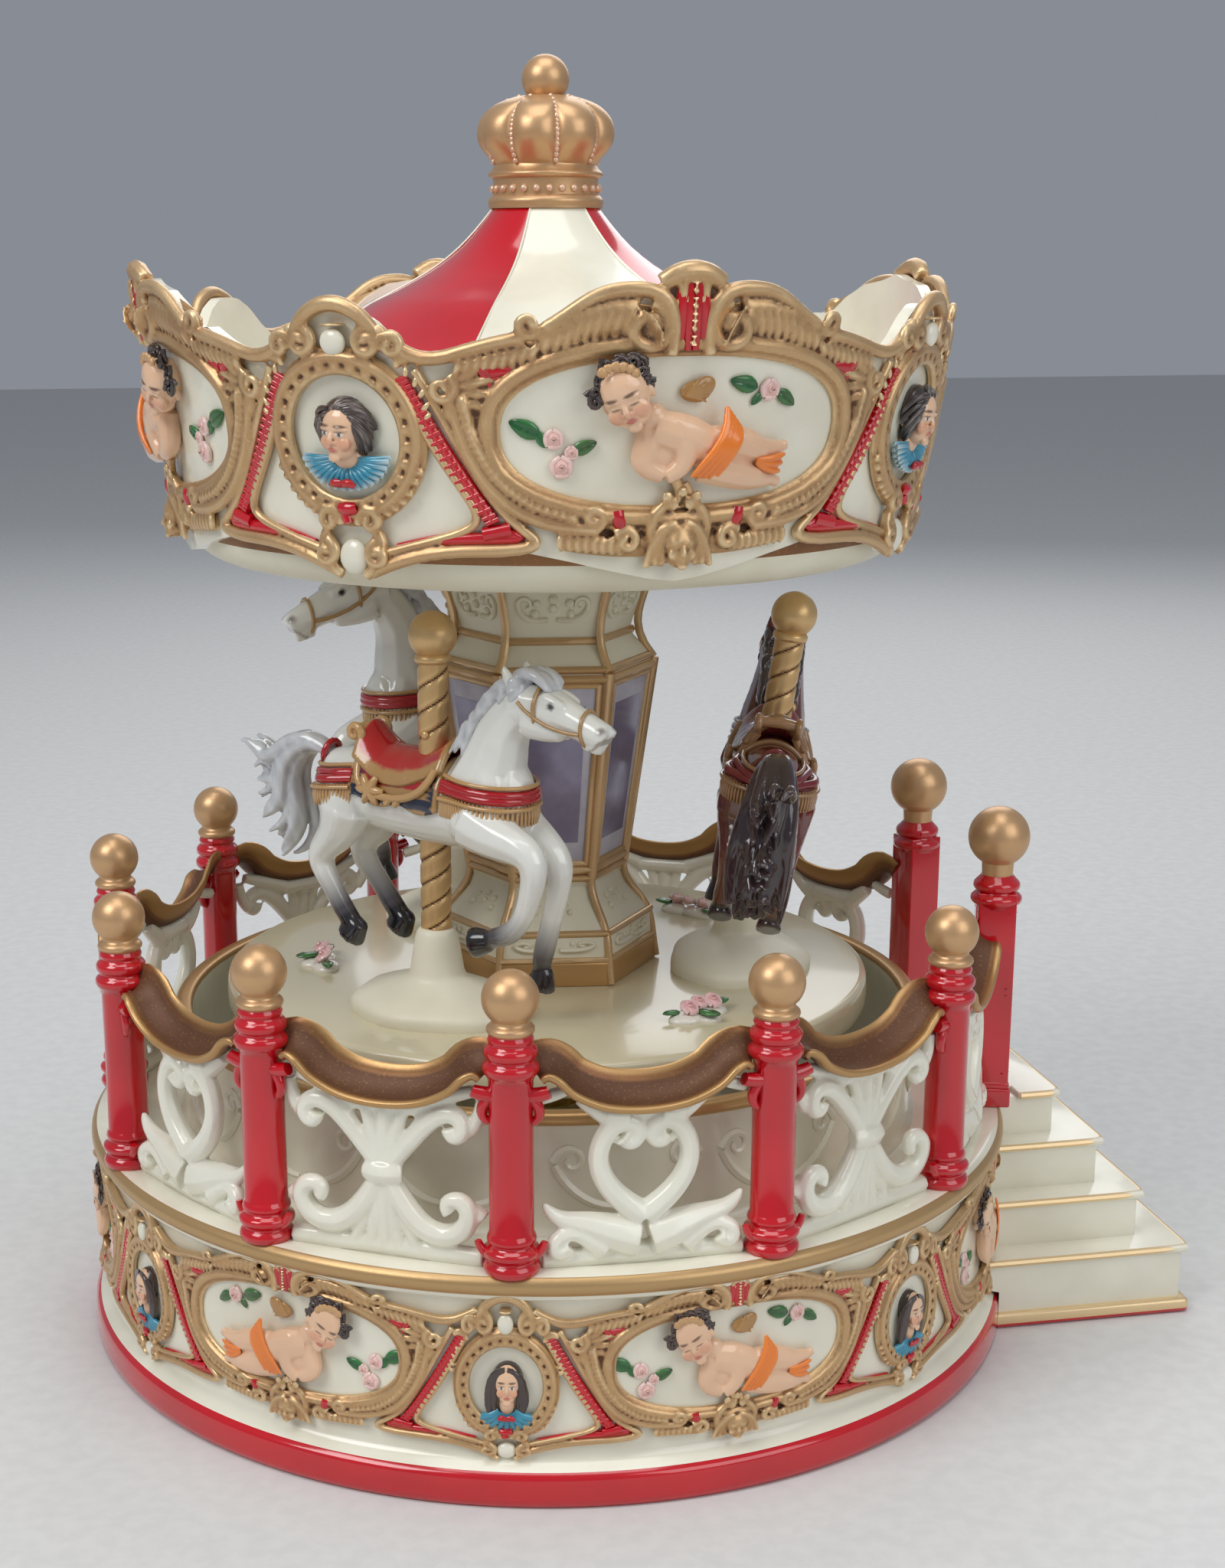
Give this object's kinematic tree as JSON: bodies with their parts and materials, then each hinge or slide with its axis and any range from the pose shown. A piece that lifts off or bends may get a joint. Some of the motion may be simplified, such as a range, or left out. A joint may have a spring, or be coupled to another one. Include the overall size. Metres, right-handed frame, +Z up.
{
  "type": "carousel music box",
  "caption": "Wind-up carousel music box: fenced drum base with entry steps, turning platform with galloping horses, mirrored column and crowned tent canopy over a spring-driven movement.",
  "frame": {"origin": "centre of the base's underside, on the turntable's axis, at the face it stands on", "axes": "+Z up along the turntable's axis, +X along the middle of the entry steps, +Y to their left"},
  "size_m": [0.1888, 0.1608, 0.2111],
  "materials": {
    "cream_resin": "gloss",
    "disc_resin": "gloss",
    "red_resin": "gloss",
    "panel_resin": "gloss",
    "gold_paint": "satin",
    "white_horse": "gloss",
    "brown_horse": "gloss",
    "rose_resin": "gloss",
    "mirror": "gloss",
    "cover_plastic": "matte",
    "felt": "matte",
    "brass": "satin",
    "steel": "satin",
    "plate_steel": "satin"
  },
  "bodies": {
    "base": {"base_drum": "cream_resin", "deck_plate": "cream_resin", "coaming_ring": "cream_resin", "entry_steps": "cream_resin", "base_cover": "cover_plastic", "base_felt": "felt", "cover_screws": "steel", "turntable_bush": "brass", "fence_post_01": "red_resin", "fence_post_02": "red_resin", "fence_post_03": "red_resin", "fence_post_04": "red_resin", "fence_post_05": "red_resin", "fence_post_06": "red_resin", "fence_post_07": "red_resin", "fence_post_08": "red_resin", "fence_post_09": "red_resin", "fence_post_10": "red_resin", "gate_post_right": "red_resin", "gate_post_left": "red_resin", "heart_panel_1": "panel_resin", "heart_panel_2": "panel_resin", "heart_panel_3": "panel_resin", "heart_panel_4": "panel_resin", "heart_panel_5": "panel_resin", "heart_panel_6": "panel_resin", "fleur_panel_1": "panel_resin", "fleur_panel_2": "panel_resin", "fleur_panel_3": "panel_resin", "fleur_panel_4": "panel_resin", "fleur_panel_5": "panel_resin", "movement_bedplate": "plate_steel", "barrel_bridge": "brass", "music_comb": "steel", "movement_screws": "steel", "governor_frame": "plate_steel"},
    "turntable": {"turntable_disc": "disc_resin", "horse_mounds": "cream_resin", "column_plinth": "cream_resin", "column_shaft": "cream_resin", "column_mirrors": "mirror", "column_capital": "cream_resin", "canopy_ceiling": "cream_resin", "canopy_valance": "cream_resin", "canopy_roof": "cream_resin", "crown_finial": "gold_paint", "horse_pole_1": "gold_paint", "horse_pole_2": "gold_paint", "horse_pole_3": "gold_paint", "horse_1": "white_horse", "horse_2": "brown_horse", "horse_3": "white_horse", "rose_sprigs": "rose_resin", "drive_spindle": "steel", "spring_barrel": "steel", "mainspring": "steel"},
    "winder": {"winding_arbor": "steel", "winding_key": "steel"},
    "pin_cylinder": {"music_cylinder": "brass"},
    "governor": {"governor_fan": "brass"}
  },
  "joints": [
    {"name": "turntable_spin", "type": "hinge", "parent": "base", "child": "turntable", "pos_m": [0, 0, 0], "axis": [0, 0, 1], "continuous": true},
    {"name": "cylinder_spin", "type": "hinge", "parent": "base", "child": "pin_cylinder", "pos_m": [-0.02, 0, 0.0261], "axis": [1, 0, 0], "continuous": true},
    {"name": "governor_spin", "type": "hinge", "parent": "base", "child": "governor", "pos_m": [-0.034, -0.007, 0.0221], "axis": [1, 0, 0], "continuous": true},
    {"name": "key_turn", "type": "hinge", "parent": "base", "child": "winder", "pos_m": [0, 0, 0.008], "axis": [0, 0, 1], "range_deg": [0, 2160]}
  ],
  "couplings": [
    {"joint": "cylinder_spin", "follows": "turntable_spin", "ratio": -4},
    {"joint": "governor_spin", "follows": "turntable_spin", "ratio": 12}
  ]
}
